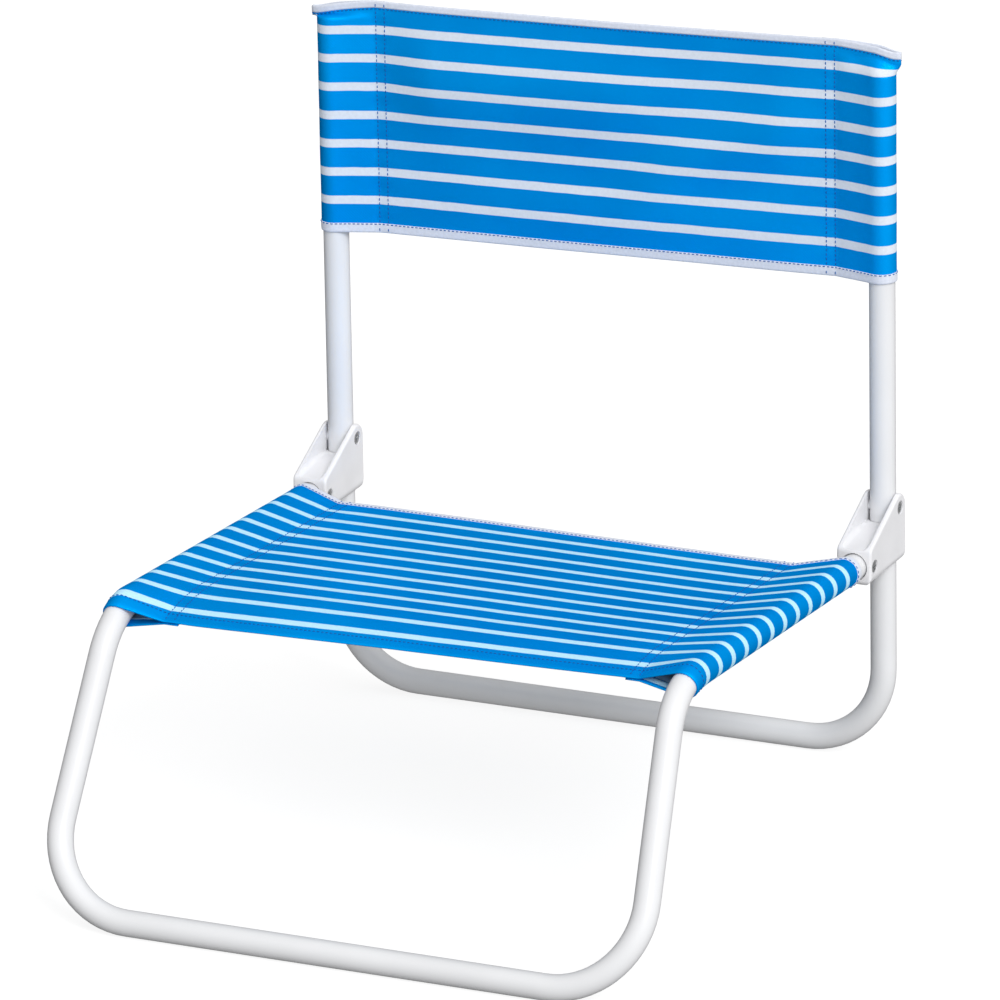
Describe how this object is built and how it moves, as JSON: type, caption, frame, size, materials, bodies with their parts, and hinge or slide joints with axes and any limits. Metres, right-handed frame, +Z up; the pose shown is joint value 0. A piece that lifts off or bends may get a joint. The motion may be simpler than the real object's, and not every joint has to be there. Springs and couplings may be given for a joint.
{
  "type": "folding camp chair",
  "caption": "Low folding camp chair with two bent white tube frames hinged in moulded side brackets, and a striped cloth sling for the seat and for the back.",
  "frame": {"origin": "on the floor, under the middle of the opened chair's bounding box", "axes": "+Z up, the chair faces -Y, +X to the right seen from the front"},
  "size_m": [0.4696, 0.523, 0.5364],
  "materials": {
    "frame_white": "white gloss powder coat on steel tube",
    "bracket_white": "white moulded nylon, satin",
    "nylon": "natural nylon bush",
    "fastener_steel": "zinc plated steel",
    "sling_cloth": "bright blue woven polyester with white stripes, satin weave",
    "binding_white": "white woven polyester tape"
  },
  "bodies": {
    "seat_frame": {"seat_frame_tube": "frame_white", "seat_sling": "sling_cloth", "seat_rear_binding": "binding_white", "hinge_bracket_left": "bracket_white", "pivot_screw_left": "fastener_steel", "pivot_sleeve_nut_left": "fastener_steel", "rail_screw_left": "fastener_steel", "rail_sleeve_nut_left": "fastener_steel", "hinge_bracket_right": "bracket_white", "pivot_screw_right": "fastener_steel", "pivot_sleeve_nut_right": "fastener_steel", "rail_screw_right": "fastener_steel", "rail_sleeve_nut_right": "fastener_steel"},
    "back_frame": {"back_frame_tube": "frame_white", "back_sling": "sling_cloth", "back_top_binding": "binding_white", "back_bottom_binding": "binding_white", "post_cap_left": "bracket_white", "pivot_bush_left": "nylon", "post_cap_right": "bracket_white", "pivot_bush_right": "nylon"}
  },
  "joints": [
    {"name": "back_fold", "type": "hinge", "parent": "seat_frame", "child": "back_frame", "pos_m": [0, 0.23236, 0.19375], "axis": [1, 0, 0], "range_deg": [0, 87]}
  ]
}
